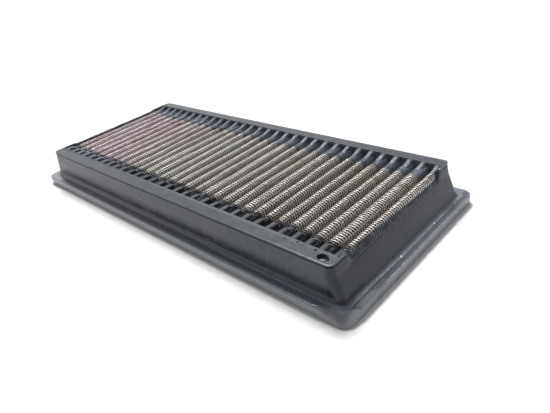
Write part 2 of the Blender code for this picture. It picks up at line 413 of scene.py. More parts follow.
def frame_profile():
    """Corners of the frame's section, as (half x, half y, corner radius, z, rounding)."""
    top_x = end_flank_x(HEIGHT)
    return np.array(
        [
            (HALF_X, HALF_Y, 6.0 * MM, 0.0, 0.5 * MM),
            (HALF_X, HALF_Y, 6.0 * MM, LAND_Z, 0.7 * MM),
            (HALF_X - 3.3 * MM, HALF_Y - 4.6 * MM, 4.2 * MM, LAND_Z, 0.2 * MM),
            (HALF_X - 3.9 * MM, HALF_Y - 5.4 * MM, 3.8 * MM, SHOULDER_Z, 0.3 * MM),
            (BASE_HALF_X + 0.3 * MM, BASE_HALF_Y + 0.1 * MM, 3.8 * MM, SHOULDER_Z, 1.3 * MM),
            (BASE_HALF_X - 0.8 * MM, RIM_HALF_Y + 0.4 * MM, 3.8 * MM, 9.0 * MM, 1.2 * MM),
            (RIM_HALF_X + 0.9 * MM, RIM_HALF_Y + 0.35 * MM, 3.8 * MM, LEDGE_Z, 0.6 * MM),
            (RIM_HALF_X + 0.1 * MM, RIM_HALF_Y - 0.05 * MM, 3.7 * MM, HEIGHT - 1.7 * MM, 0.15 * MM),
            (RIM_HALF_X - 0.4 * MM, RIM_HALF_Y - 0.7 * MM, 3.1 * MM, HEIGHT - 1.35 * MM, 0.1 * MM),
            (RIM_HALF_X, RIM_HALF_Y, 3.6 * MM, HEIGHT - 0.85 * MM, 0.12 * MM),
            (RIM_HALF_X, RIM_HALF_Y, 3.6 * MM, HEIGHT, 0.25 * MM),
            (top_x, OPENING_HALF, 0.9 * MM, HEIGHT, 0.3 * MM),
            (top_x + 0.1 * MM, OPENING_HALF, 0.9 * MM, HEIGHT - LIP, 0.1 * MM),
            (top_x + 0.4 * MM, CHANNEL_HALF, 0.9 * MM, HEIGHT - LIP, 0.1 * MM),
            (end_flank_x(LIP) + 0.3 * MM, CHANNEL_HALF, 0.9 * MM, LIP, 0.1 * MM),
            (top_x, OPENING_HALF, 0.9 * MM, LIP, 0.1 * MM),
            (top_x, OPENING_HALF, 0.9 * MM, 0.0, 0.4 * MM),
        ]
    )


WORN_CORNERS = (1, 3, 9, 10)


def rounded_profile(corners, longest=0.9 * MM, arc_points=4):
    """The closed section with its corners rounded and its long spans divided, and its wear.

    The wear is 1 on the rounded outer edges and 0 elsewhere.
    """
    points, bevels = corners[:, :4], corners[:, 4]
    dense, wear = [], []
    count = len(points)
    for i in range(count):
        before, after = points[i - 1] - points[i], points[(i + 1) % count] - points[i]
        span_in = np.linalg.norm(before[[1, 3]]) + np.linalg.norm(before[[0, 3]]) * 0.01
        span_out = np.linalg.norm(after[[1, 3]]) + np.linalg.norm(after[[0, 3]]) * 0.01
        start = points[i] + before * min(0.45, bevels[i] / span_in)
        end = points[i] + after * min(0.45, bevels[i] / span_out)
        if dense:
            dense += divided(dense[-1], start, longest)
            wear += [0.0] * (len(dense) - len(wear))
        for t in np.linspace(0, 1, arc_points):
            dense.append((1 - t) ** 2 * start + 2 * t * (1 - t) * points[i] + t * t * end)
        wear += [float(i in WORN_CORNERS)] * arc_points
    dense += divided(dense[-1], dense[0], longest)
    wear += [0.0] * (len(dense) - len(wear))
    return np.array(dense), np.array(wear)


def divided(first, last, longest):
    """Points strictly between two section points, no further apart than longest."""
    span = np.linalg.norm((last - first)[[1, 3]])
    steps = max(1, int(math.ceil(span / longest)))
    return [first + (last - first) * n / steps for n in range(1, steps)]


def perimeter(half_x, half_y, radius, long_steps=250, short_steps=190, corner_steps=9):
    """Points (x, y) round a rounded rectangle, the same number for every size."""
    points = []
    corners = ((1, 1), (-1, 1), (-1, -1), (1, -1))
    for number, (sx, sy) in enumerate(corners):
        centre = np.array([sx * (half_x - radius), sy * (half_y - radius)])
        angles = math.pi / 2 * (number + np.linspace(0, 1, corner_steps + 1))
        arc = centre + radius * np.stack([np.cos(angles), np.sin(angles)], 1)
        tx, ty = corners[(number + 1) % 4]
        following = np.array([tx * (half_x - radius), ty * (half_y - radius)])
        angle = math.pi / 2 * (number + 1)
        landing = following + radius * np.array([math.cos(angle), math.sin(angle)])
        steps = long_steps if number % 2 == 0 else short_steps
        share = np.linspace(0, 1, steps + 1)[1:-1, None]
        points += [arc, arc[-1] + share * (landing - arc[-1])]
    return np.concatenate(points)


def end_wall_top(x, y):
    """Height of the end walls' upper edge: low at the right end, almost the rim's at the left."""
    ragged = np.sin(y / (3.1 * MM)) * np.sin(y / (7.7 * MM) + 1.0)
    right = RIGHT_WALL_TOP + 0.45 * MM * ragged
    left = LEFT_WALL_TOP + 0.12 * MM * ragged
    low = np.where(x > 0, right, left)
    start = np.where(x > 0, WINDOW_HALF, WINDOW_HALF - 5.5 * MM)
    climb = ease((np.abs(y) - start) / WINDOW_EASE)
    return low + (HEIGHT - low) * climb


def lower_end_walls(flat, at_end):
    """Squeezes each end wall in height, so that it stops short of the rim between its corners."""
    x, y, z = flat.T
    squeezed = LEDGE_Z + (z - LEDGE_Z) * (end_wall_top(x, y) - LEDGE_Z) / (HEIGHT - LEDGE_Z)
    flat[:, 2] = np.where(at_end & (z > LEDGE_Z), squeezed, z)


def roughen_skin(flat, at_end):
    """Makes the skin a little wavy, and rough where the end walls meet the pack."""
    x, y, z = flat.T
    broad = lattice_noise(flat, 22 * MM, 21) * 0.16 * MM
    fine = lattice_noise(flat, 3.2 * MM, 22) * 0.035 * MM
    rough = lattice_noise(flat, 2.2 * MM, 23) * 0.14 * MM
    rough = rough + lattice_noise(flat, 1.1 * MM, 24) * 0.05 * MM
    rough_zone = ease((z - 16.0 * MM) / (4 * MM)) * (np.abs(x) > RIM_HALF_X - 2 * MM)
    rough_zone = rough_zone * ease((WINDOW_HALF + 11 * MM - np.abs(y)) / (8 * MM))
    outward = np.where(at_end, np.sign(x), 0.0)
    held = np.clip(z / HEIGHT, 0, 1)
    flat[:, 0] += outward * ((broad + fine) * held + (rough - 0.12 * MM) * rough_zone)
    on_long = (np.abs(y) > OPENING_HALF + 2 * MM) & ~at_end
    flat[:, 1] += np.where(on_long, np.sign(y) * (0.6 * broad + fine) * ease(z / (3 * MM)), 0.0)


def fade_step(flat, at_end):
    """Fades out the low step on the flange along the front, and widens the front lip a little."""
    x, y, z = flat.T
    step = (z > LAND_Z + 0.05 * MM) & (z < SHOULDER_Z + 0.05 * MM)
    kept = np.where(y < 0, ease((x - 35 * MM) / (40 * MM)), 0.25)
    kept = np.where(at_end, ease((-5 * MM - y) / (30 * MM)), kept)
    lowered = LAND_Z + (z - LAND_Z) * (0.12 + 0.88 * kept)
    flat[:, 2] = np.where(step, lowered, flat[:, 2])
    lip = ease((OPENING_HALF + 2.6 * MM - np.abs(y)) / (2.2 * MM)) * (z > HEIGHT - LIP - 0.3 * MM)
    flat[:, 1] += FRONT_LIP * lip * (y < 0) * ~at_end


def nick_flange(flat, at_end, wear):
    """Nicks the flange's upper outer edge."""
    x, _, z = flat.T
    edge = wear * (z < SHOULDER_Z) * (z > 3 * MM)
    nicks = np.clip(lattice_noise(flat, 1.1 * MM, 25) - 0.25, 0, 1) * NICK_DEPTH
    flat[:, 2] -= edge * nicks
    flat[:, 0] -= edge * nicks * 0.6 * np.sign(x) * at_end


def bend_corner(flat):
    """Bends the flange's front right corner down along a crease."""
    x, y, z = flat.T
    past = (x - (HALF_X - 13 * MM)) * 0.55 - (y + HALF_Y - 7 * MM) * 0.9
    bend = np.clip(past - 2.0 * MM, 0, 9 * MM) * ease((z - 1.0 * MM) / (5.0 * MM))
    flat[:, 2] -= CORNER_SLOPE * bend * (z < SHOULDER_Z + 0.1 * MM)


def moulded_frame(mat):
    """The ring of flange, wall and rim, its end walls lowered and its skin worn."""
    profile, worn = rounded_profile(frame_profile())
    rings = []
    for half_x, half_y, radius, z in profile:
        xy = perimeter(half_x, half_y, radius)
        rings.append(np.column_stack([xy, np.full(len(xy), z)]))
    points = np.stack(rings)
    rows, columns = points.shape[:2]
    flat = points.reshape(-1, 3)
    wear = np.repeat(worn, columns)
    at_end = np.abs(flat[:, 0]) > end_flank_x(HEIGHT) - 0.5 * MM
    lower_end_walls(flat, at_end)
    roughen_skin(flat, at_end)
    fade_step(flat, at_end)
    nick_flange(flat, at_end, wear)
    bend_corner(flat)
    flat[:, 2] = np.clip(flat[:, 2], 0.0, HEIGHT)

    index = np.arange(rows * columns).reshape(rows, columns)
    index = np.vstack([index, index[:1]])
    index = np.hstack([index, index[:, :1]])
    corners = (index[:-1, :-1], index[:-1, 1:], index[1:, 1:], index[1:, :-1])
    quads = np.stack([corner.ravel() for corner in corners], 1)
    obj = mesh_object("moulded_frame", flat, [quads], mat)
    layer = obj.data.attributes.new("wear", "FLOAT", "POINT")
    layer.data.foreach_set("value", wear.astype(np.float32))
    cut_pits(obj)
    return piece(obj, "moulded_urethane", "urethane_frame")


# Centres and half sizes of the two largest casting voids, in millimetres
VOIDS = (((131.5, -54.2, 27.0), (3.3, 2.3, 2.1)), ((124.7, -51.3, 27.3), (0.9, 0.6, 0.7)))
RIM_PITS = 20
WALL_PITS = 16
BEAD_CENTRE = (132.5 * MM, -54.6 * MM, 25.8 * MM)
BEAD_RADIUS = 1.0 * MM


def object_from_bmesh(name, bm):
    """A linked object that holds the mesh built in bm."""
    mesh = bpy.data.meshes.new(name)
    bm.to_mesh(mesh)
    bm.free()
    obj = bpy.data.objects.new(name, mesh)
    bpy.context.scene.collection.objects.link(obj)
    return obj


def bead(mat):
    """A bead of urethane left in the largest void."""
    bm = bmesh.new()
    bmesh.ops.create_icosphere(bm, subdivisions=4, radius=BEAD_RADIUS)
    bmesh.ops.translate(bm, vec=BEAD_CENTRE, verts=bm.verts)
    obj = object_from_bmesh("bead_in_void", bm)
    obj.data.shade_smooth()
    obj.data.materials.append(mat)
    return piece(obj, "moulded_urethane")


def pit_spots():
    """Centres and half sizes, in millimetres, of the voids and of the pits that clear them."""
    spots = list(VOIDS)
    for _ in range(RIM_PITS):
        size = RNG.uniform(0.16, 0.34)
        x = 137.0 - RNG.exponential(34.0)
        place = (x, -50.4 - RNG.exponential(1.3), 27.2)
        spots.append((place, (size * 1.4, size, size * 0.8)))
    for _ in range(WALL_PITS):
        size = RNG.uniform(0.16, 0.36)
        z = RNG.uniform(14.5, 22.0)
        x = RIM_HALF_X / MM + 1.05 + (20.0 - z) * 0.41
        spots.append(((x, -RNG.uniform(34.0, 52.0), z), (size, size * 1.6, size * 1.2)))
    return spots


def cut_pits(obj):
    """Cuts small casting voids into the rim by the comb and into the right end wall."""
    bm = bmesh.new()
    kept = []
    for number, (centre, size) in enumerate(pit_spots()):
        if any(math.dist(centre, other) < 1.4 * (size[0] + reach[0]) for other, reach in kept):
            continue
        kept.append((centre, size))
        made = bmesh.ops.create_icosphere(bm, subdivisions=2, radius=1.0)["verts"]
        points = np.array([v.co for v in made])
        bumps = lattice_noise(points + 3.0 * number, 0.9, 50 + number)
        points = (np.array(centre) + points * np.array(size) * (1 + 0.3 * bumps[:, None])) * MM
        for vert, place in zip(made, points):
            vert.co = place
    cutter = object_from_bmesh("pits", bm)
    cut = obj.modifiers.new("pits", "BOOLEAN")
    cut.operation = "DIFFERENCE"
    cut.solver = "MANIFOLD"
    cut.object = cutter
    bpy.context.view_layer.update()
    depsgraph = bpy.context.evaluated_depsgraph_get()
    result = bpy.data.meshes.new_from_object(obj.evaluated_get(depsgraph))
    obj.modifiers.clear()
    obj.data = result
    bpy.data.objects.remove(cutter, do_unlink=True)


FINGER_ROOT = 1.4 * MM
FINGER_RINGS = 20
FINGER_POINTS = 20
FINGER_CAP = 1.7 * MM
FINGER_ROUNDNESS = 0.55
# How far a finger's tip drops, its half width, and its least and greatest reach in millimetres
PLAIN_FINGER = (0.35 * MM, 2.1 * MM, (8.7, 9.9))
REAR_FINGER = (1.7 * MM, 1.85 * MM, (7.4, 8.8))


def finger_rings(x, side, tip, top, low, slope, half_width):
    """Rings of one finger, from a rounded tip to its root inside the rim.

    top is its outer face's height at the root and low its inner face's; slope lowers the tip.
    """
    length = OPENING_HALF + FINGER_ROOT - tip
    angles = 2 * math.pi * np.arange(FINGER_POINTS) / FINGER_POINTS
    across = np.sign(np.cos(angles)) * np.abs(np.cos(angles)) ** FINGER_ROUNDNESS
    height = np.sign(np.sin(angles)) * np.abs(np.sin(angles)) ** FINGER_ROUNDNESS
    mid, half = (top + low) / 2, (top - low) / 2
    lean = RNG.normal(0, 0.18 * MM)
    drop = math.copysign(slope + abs(RNG.normal(0, 0.15 * MM)), half)
    rings = []
    for n in range(FINGER_RINGS):
        t = n / (FINGER_RINGS - 1)
        y = tip + length * (1 - math.cos(t * math.pi / 2))
        cap = min((y - tip) / FINGER_CAP, 1.0)
        size = max(math.sqrt(1 - (1 - cap) ** 2), 0.03)
        away = 1 - (y - tip) / length
        flare = 1 + 0.35 * ease((y - OPENING_HALF + 0.9 * MM) / (1.2 * MM))
        px = x + lean * away + half_width * size * flare * across
        pz = mid + half * size * height - drop * ease(away)
        rings.append(np.stack([px, np.full_like(px, side * y), pz], 1))
    rings = np.array(rings)
    lumps = lattice_noise(rings.reshape(-1, 3), 1.6 * MM, 61).reshape(rings.shape[:2])
    rings[..., 2] += 0.08 * MM * lumps
    rings[..., 0] += 0.10 * MM * lumps
    return rings


def comb_fingers(mat):
    """Rounded fingers from the long walls over the fold ends, at the rim and at the underside."""
    verts, faces, caps = [], [], []
    per_finger = FINGER_RINGS * FINGER_POINTS
    body = grid_faces(FINGER_RINGS, FINGER_POINTS, wrap=True)
    head = np.arange(FINGER_POINTS)
    tail = (FINGER_RINGS - 1) * FINGER_POINTS + np.arange(FINGER_POINTS)[::-1]
    upper = (RIDGES, HEIGHT - 0.55 * MM, PACK_TOP - 3.0 * MM)
    lower = (RIDGES - 1, 0.5 * MM, PACK_BOTTOM + 2.2 * MM)
    for side in (-1, 1):
        for count, top, low in (upper, lower):
            rear = side > 0 and top > low
            flip = (side > 0) == (top > low)
            slope, half_width, reaches = REAR_FINGER if rear else PLAIN_FINGER
            raised = 0.4 * MM if rear else 0.0
            for n in range(count):
                x = (n - (count - 1) / 2) * PITCH
                tip = OPENING_HALF - RNG.uniform(*reaches) * MM
                start = len(verts) * per_finger
                rings = finger_rings(x, side, tip, top + raised, low, slope, half_width)
                verts.append(rings.reshape(-1, 3))
                faces.append((body if flip else body[:, ::-1]) + start)
                caps.append((head if flip else head[::-1]) + start)
                caps.append((tail if flip else tail[::-1]) + start)
    verts = np.concatenate(verts)
    obj = mesh_object("comb_fingers", verts, [np.concatenate(faces), np.array(caps)], mat)
    return piece(obj, "moulded_urethane")


# ---------------------------------------------------------------- soaked edges

SOAK_FRONT = 39.3 * MM
SOAK_REAR = 38.8 * MM
BARE_REACH = 5.5 * MM
SUNK = 0.36 * MM
# Heights of the skin's brim on the right end flank, at three places across the filter
BRIM_Y = (-42 * MM, 0.0, 42 * MM)
BRIM_Z = (25.4 * MM, 23.9 * MM, 21.3 * MM)


def skin_grid(line, y):
    """The shape of a grid of points over a line and y, their x, y and z, and the points as a list."""
    shape = (len(y), len(line))
    x_grid = np.broadcast_to(line[:, 0], shape)
    y_grid = np.broadcast_to(y[:, None], shape)
    z_grid = np.broadcast_to(line[:, 1], shape)
    return shape, x_grid, y_grid, z_grid, np.stack([x_grid, y_grid, z_grid], -1).reshape(-1, 3)


def soaked_edge(name, side, reach, mat, lower=False):
    """Black urethane skin over the pack's fold ends, thinning until the wires stand out of it."""
    layer = -SCREEN_OFFSET if lower else SCREEN_OFFSET
    out = -1 if lower else 1
    line, _ = along(layer, count=FOLDS * 16 + 1)
    y = np.linspace(reach - 4.0 * MM, OPENING_HALF + 0.2 * MM, 44)
    shape, x_grid, y_grid, _, at = skin_grid(line, side * y)
    ragged = lattice_noise(at, 3.4 * MM, 31).reshape(shape) * 2.0 * MM
    ragged += lattice_noise(at, 11 * MM, 32).reshape(shape) * 1.2 * MM
    bare = 0.0
    if side > 0 and not lower:
        bare = BARE_REACH * ease((x_grid - 131 * MM) / (3 * MM))
    depth = side * y_grid - reach - bare + ragged
    film = 0.12 * MM if side > 0 else 0.26 * MM
    cover = 0.38 * MM * ease(depth / (2.4 * MM)) - SUNK
    cover += film * ease((depth - 2.0 * MM) / (4.5 * MM))
    lumps = lattice_noise(at, 1.1 * MM, 33).reshape(shape) * 0.12 * MM
    cover += lumps * ease(depth / (1.5 * MM))
    top, _ = pleat_surface(line, side * y, layer + out * cover)
    bottom, _ = pleat_surface(line, side * y, layer - out * SUNK)
    if (side < 0) != lower:
        top, bottom = top[::-1], bottom[::-1]
    obj = closed_sheet(name, top, bottom, mat)
    return piece(obj, "potting_urethane")


def soaked_end(name, side, mat):
    """Black skin on an end ridge's outer flank, thickening until it joins the end wall's top."""
    line, _ = along(SCREEN_OFFSET, count=FOLDS * 40 + 1)
    line = line[line[:, 3] >= FOLDS - 1] if side > 0 else line[line[:, 3] <= 1][::-1]
    line = line[line[:, 1] > LEDGE_Z - 1.5 * MM]
    line = line[line[:, 0] * side > (RIDGES - 1) * PITCH / 2]
    y = side * np.linspace(-WINDOW_HALF - 5 * MM, WINDOW_HALF + 5 * MM, 260)
    shape, x_grid, y_grid, z_grid, at = skin_grid(line, y)
    ragged = lattice_noise(at, 2.6 * MM, 41).reshape(shape) * 0.9 * MM
    brim = np.interp(y_grid, BRIM_Y, BRIM_Z) if side > 0 else PACK_TOP - 0.6 * MM
    depth = brim - z_grid + ragged
    merge = ease((end_wall_top(x_grid, y_grid) + 2.3 * MM - z_grid) / (2.4 * MM))
    swell = 0.22 * MM * np.exp(-(((depth - 1.4 * MM) / (0.6 * MM)) ** 2))
    cover = 0.4 * MM * ease(depth / (1.6 * MM)) + swell - SUNK
    rise = 1.75 * MM if side > 0 else 0.6 * MM
    cover += rise * merge
    lumps = lattice_noise(at, 1.0 * MM, 42).reshape(shape) * 0.16 * MM
    lumps += lattice_noise(at, 0.55 * MM, 43).reshape(shape) * 0.10 * MM
    top, _ = pleat_surface(line, y, SCREEN_OFFSET + cover + lumps * ease(depth / MM))
    bottom, _ = pleat_surface(line, y, SCREEN_OFFSET - SUNK)
    obj = closed_sheet(name, top, bottom, mat)
    return piece(obj, "potting_urethane")


# ---------------------------------------------------------------- materials


class Shading:
    """One material and the nodes that are added to it."""

    def __init__(self, name):
        self.mat = bpy.data.materials.new(name)
        self.mat.use_nodes = True
        self.tree = self.mat.node_tree
        self.shader = self.tree.nodes["Principled BSDF"]
        self.place = self.node("TexCoord").outputs["Object"]
        self.xyz = self.node("SeparateXYZ", {"Vector": self.place}).outputs

    def put(self, socket, value):
        """Links value to the socket if it is another node's output, or else sets it."""
        if isinstance(value, bpy.types.NodeSocket):
            self.tree.links.new(value, socket)
        else:
            as_color = isinstance(value, tuple) and socket.type == "RGBA"
            socket.default_value = (*value, 1.0) if as_color else value

    def node(self, kind, inputs=None, **props):
        """A new shader node with its properties and inputs set."""
        made = self.tree.nodes.new("ShaderNode" + kind)
        for key, value in props.items():
            setattr(made, key, value)
        for key, value in (inputs or {}).items():
            self.put(made.inputs[key], value)
        return made

    def calc(self, operation, a, b=0.0, c=0.0):
        return self.node("Math", {0: a, 1: b, 2: c}, operation=operation).outputs[0]

    def times(self, a, b):
        return self.calc("MULTIPLY", a, b)

    def plus(self, a, b):
        return self.calc("ADD", a, b)

    def minus(self, a, b):
        return self.calc("SUBTRACT", a, b)

    def linear(self, value, factor, start):
        """value times factor, plus start."""
        return self.calc("MULTIPLY_ADD", value, factor, start)

    def largest(self, a, b):
        return self.calc("MAXIMUM", a, b)

    def noise(self, size, detail=2.0, rough=0.5, place=None, distortion=0.0):
        """Noise from 0 to 1 with features about size metres wide."""
        inputs = {
            "Vector": place or self.place,
            "Scale": 1.0 / size,
            "Detail": detail,
            "Roughness": rough,
            "Distortion": distortion,
        }
        return self.node("TexNoise", inputs).outputs[0]

    def stretch(self, factors, place=None):
        """A place with each of its coordinates multiplied by a factor."""
        inputs = {0: place or self.place, 1: factors}
        return self.node("VectorMath", inputs, operation="MULTIPLY").outputs[0]

    def fade(self, value, low, high, to_low=0.0, to_high=1.0):
        """value mapped smoothly from the range low..high to to_low..to_high."""
        inputs = {"Value": value, "From Min": low, "From Max": high}
        inputs.update({"To Min": to_low, "To Max": to_high})
        return self.node("MapRange", inputs, interpolation_type="SMOOTHSTEP").outputs["Result"]

    def mix(self, share, a, b):
        """The colour a, or b where share is 1."""
        made = self.tree.nodes.new("ShaderNodeMix")
        made.data_type = "RGBA"
        self.put(made.inputs[0], share)
        self.put(made.inputs[6], a)
        self.put(made.inputs[7], b)
        return made.outputs[2]

    def bump(self, height, distance, strength=1.0, after=None):
        """A normal bent by height, on top of another normal if one is given."""
        inputs = {"Height": height, "Distance": distance, "Strength": strength}
        if after is not None:
            inputs["Normal"] = after
        return self.node("Bump", inputs).outputs["Normal"]

    def set(self, **values):
        """Sets the shader's inputs and gives back the material."""
        for key, value in values.items():
            self.put(self.shader.inputs[key.replace("_", " ")], value)
        return self.mat


COLD = (0.86, 0.94, 1.0)


def soak(s):
    """How soaked a place of the pack is, 0 to 1: by the long walls and low on the end flanks."""
    x, y, z = s.xyz
    ragged = s.linear(s.noise(4.0 * MM, 4.0, 0.6), 8.0 * MM, -4.0 * MM)
    front = s.minus(s.times(y, -1.0), SOAK_FRONT - 1.6 * MM)
    rear = s.minus(y, SOAK_REAR - 1.6 * MM)
    rear = s.minus(rear, s.fade(x, 131 * MM, 134 * MM, 0.0, BARE_REACH))
    edge = s.plus(s.largest(front, rear), ragged)
    brim = s.fade(y, BRIM_Y[0], BRIM_Y[1], BRIM_Z[0], BRIM_Z[1])
    brim = s.plus(brim, s.fade(y, BRIM_Y[1], BRIM_Y[2], 0.0, BRIM_Z[2] - BRIM_Z[1]))
    low = s.plus(s.minus(brim, z), s.times(ragged, 0.25))
    past = s.calc("GREATER_THAN", s.calc("ABSOLUTE", x), (RIDGES - 1) * PITCH / 2 + 1.0 * MM)
    edges = s.fade(edge, -0.8 * MM, 1.4 * MM)
    ends = s.times(s.fade(low, -0.4 * MM, 1.0 * MM), past)
    return s.largest(edges, ends)


def wire_material():
    """Coated aluminium wire, dulled by dust: pinkish to the left, browner to the right with near-white
    specks on the last ridge; painted light makes the flanks paler.
    """
    s = Shading("woven_aluminium_wire")
    x, y, z = s.xyz
    pinkish, neutral, brownish = (0.76, 0.66, 0.69), (0.76, 0.755, 0.715), (0.80, 0.76, 0.715)
    along_x = s.plus(x, s.linear(s.noise(26 * MM, 3.0), 60 * MM, -30 * MM))
    base = s.mix(s.fade(along_x, -95 * MM, -25 * MM), pinkish, neutral)
    base = s.mix(s.fade(along_x, 10 * MM, 95 * MM), base, brownish)
    grime = s.fade(s.noise(3.0 * MM, 4.0, 0.65), 0.42, 0.68)
    base = s.mix(s.times(grime, 0.45), base, (0.26, 0.215, 0.19))
    # Painted light: the wires are painted paler down the flanks below the crowns, most on the left,
    # standing in for light on flanks that face away from the key.
    flank = s.fade(z, PACK_TOP - 1.0 * MM, PACK_TOP - 5.0 * MM)
    flank = s.times(flank, s.fade(x, -50 * MM, -120 * MM, 0.55, 0.9))
    pale = s.mix(s.fade(x, -110 * MM, -30 * MM), (0.96, 0.84, 0.87), (0.96, 0.91, 0.87))
    base = s.mix(flank, base, pale)
    rust = s.fade(s.noise(9 * MM, 4.0, 0.6, distortion=0.4), 0.58, 0.70)
    rear = s.fade(y, 8 * MM, 36 * MM)
    rust = s.times(rust, s.linear(rear, 0.88, 0.12))
    base = s.mix(rust, base, (0.34, 0.185, 0.075))
    olive = s.fade(s.noise(12 * MM, 3.0, 0.6, place=s.stretch((1.0, 1.3, 1.0))), 0.60, 0.72)
    base = s.mix(s.times(olive, s.times(rear, 0.6)), base, (0.27, 0.25, 0.11))
    fleck = s.fade(s.noise(1.2 * MM, 3.0, 0.6), 0.56, 0.66)
    black = s.times(soak(s), s.linear(fleck, -0.55, 1.0))
    last = s.times(s.fade(x, 132.5 * MM, 135 * MM), s.fade(s.noise(1.6 * MM, 3.0, 0.7), 0.52, 0.60))
    base = s.mix(last, base, (0.98, 0.98, 0.97))
    # Soaked wires: at the front darker to the right; at the rear painted light, a pale grey-blue
    # though they lie in the rear wall's shade.
    soaked_front = s.mix(s.fade(x, -110 * MM, -20 * MM), (0.13, 0.145, 0.175), (0.055, 0.061, 0.075))
    soaked_rear = (0.19, 0.21, 0.25)
    base = s.mix(black, base, s.mix(s.fade(y, 0.0, MM), soaked_front, soaked_rear))
    metal = s.times(s.minus(1.0, black), s.linear(grime, -0.35, 0.7))
    rough = s.linear(s.noise(0.9 * MM, 3.0), 0.25, 0.24)
    normal = s.bump(s.noise(0.22 * MM, 3.0, 0.6), 0.03 * MM, 0.6)
    return s.set(Base_Color=base, Metallic=metal, Roughness=rough, Normal=normal)


def gauze_material():
    """Coarse cotton gauze, threads 0.55 mm apart: faded red oil on the left, brown dirt elsewhere,
    painted shade deep in the folds.
    """
    s = Shading("oiled_cotton_gauze")
    x, _, z = s.xyz
    cloth = s.node("Attribute", attribute_name="cloth").outputs["Vector"]
    wobble = s.node("TexNoise", {"Vector": cloth, "Scale": 1 / (2.4 * MM), "Detail": 2.0})
    offset = s.node("VectorMath", {0: wobble.outputs["Color"], "Scale": 0.5 * MM}, operation="SCALE")
    laid = s.node("VectorMath", {0: cloth, 1: offset.outputs[0]}, operation="ADD").outputs[0]
    u, v, _ = s.node("SeparateXYZ", {"Vector": laid}).outputs
    turns = 2 * math.pi / (0.55 * MM)
    warp = s.calc("SINE", s.times(u, turns))
    weft = s.calc("SINE", s.times(v, turns))
    thread = s.largest(warp, weft)
    hairs = s.noise(0.5 * MM, 4.0, 0.7, place=s.stretch((1.0, 5.0, 1.0), cloth))
    thread = s.plus(thread, s.linear(hairs, 1.0, -0.5))
    cover = s.fade(thread, -0.2, 0.75)
    drift = s.plus(x, s.linear(s.noise(30 * MM, 3.0), 70 * MM, -35 * MM))
    tint = s.mix(s.fade(drift, -90 * MM, -10 * MM), (0.44, 0.32, 0.33), (0.22, 0.19, 0.165))
    tint = s.mix(s.fade(drift, 20 * MM, 90 * MM), tint, (0.062, 0.046, 0.039))
    dirt = s.fade(s.noise(4.5 * MM, 5.0, 0.65), 0.40, 0.66)
    tint = s.mix(s.times(dirt, 0.6), tint, (0.040, 0.031, 0.027))
    # Painted shade: the gauze is painted darker deeper down the folds, less so on the left.
    deep = s.fade(z, PACK_TOP - 2.0 * MM, PACK_TOP - 12.0 * MM)
    deep = s.times(deep, s.fade(x, -40 * MM, -120 * MM, 0.4, 0.1))
    tint = s.mix(deep, tint, (0.035, 0.026, 0.022))
    base = s.mix(cover, s.mix(0.65, tint, (0.02, 0.014, 0.012)), tint)
    base = s.mix(soak(s), base, (0.012, 0.012, 0.013))
    normal = s.bump(thread, 0.12 * MM, 0.8)
    rough = s.linear(hairs, 0.3, 0.6)
    return s.set(Base_Color=base, Roughness=rough, Normal=normal, Sheen_Weight=0.25)


def scuffed(s, base):
    """The colour with grey scuffs along worn edges, palest at the right end's rear corner."""
    x, y, z = s.xyz
    wear = s.node("Attribute", attribute_name="wear").outputs["Fac"]
    ragged = s.fade(s.plus(s.noise(2.6 * MM, 4.0, 0.65), s.times(wear, 0.34)), 0.62, 0.84)
    scuff = s.times(ragged, s.fade(wear, 0.15, 0.8))
    scuff = s.times(scuff, s.fade(z, 7 * MM, 12 * MM, 1.0, 0.4))
    chipped = s.times(s.fade(x, 144 * MM, 147 * MM), s.fade(y, -34 * MM, -28 * MM))
    grey = s.mix(chipped, (0.17, 0.175, 0.185), (0.40, 0.40, 0.41))
    return s.mix(s.times(scuff, 0.8), base, grey)


def dust_and_painted_light(s, base, mottle):
    """The colour with some dust all over, and paler on the flange's top and outer sides, partly dust
    and partly painted light.
    """
    x, y, z = s.xyz
    dust = s.fade(s.noise(16 * MM, 4.0, 0.6), 0.5, 0.72)
    base = s.mix(s.times(dust, 0.2), base, (0.09, 0.09, 0.094))
    patchy = s.linear(mottle, 0.6, 0.6)
    # Partly dust, partly painted light: the flange's top is painted paler though it lies in the wall's
    # shade, and paler towards the left.
    share = s.fade(x, 145.5 * MM, 148 * MM, 1.0, 0.0)
    share = s.largest(share, s.fade(y, -45 * MM, 20 * MM, 0.0, 0.35))
    top_dust_and_light = s.times(s.times(s.fade(z, 7.6 * MM, 6.3 * MM), patchy), share)
    dusty = s.mix(s.fade(x, 60 * MM, -150 * MM), (0.17, 0.19, 0.225), (0.28, 0.285, 0.31))
    base = s.mix(top_dust_and_light, base, dusty)
    # Painted reflection, partly dust: the flange's outer sides are painted paler still, standing in
    # for the bright floor that they reflect.
    sides = s.times(s.fade(z, 6.0 * MM, 5.2 * MM), patchy)
    return s.mix(sides, base, s.mix(0.5, dusty, (0.36, 0.36, 0.37)))


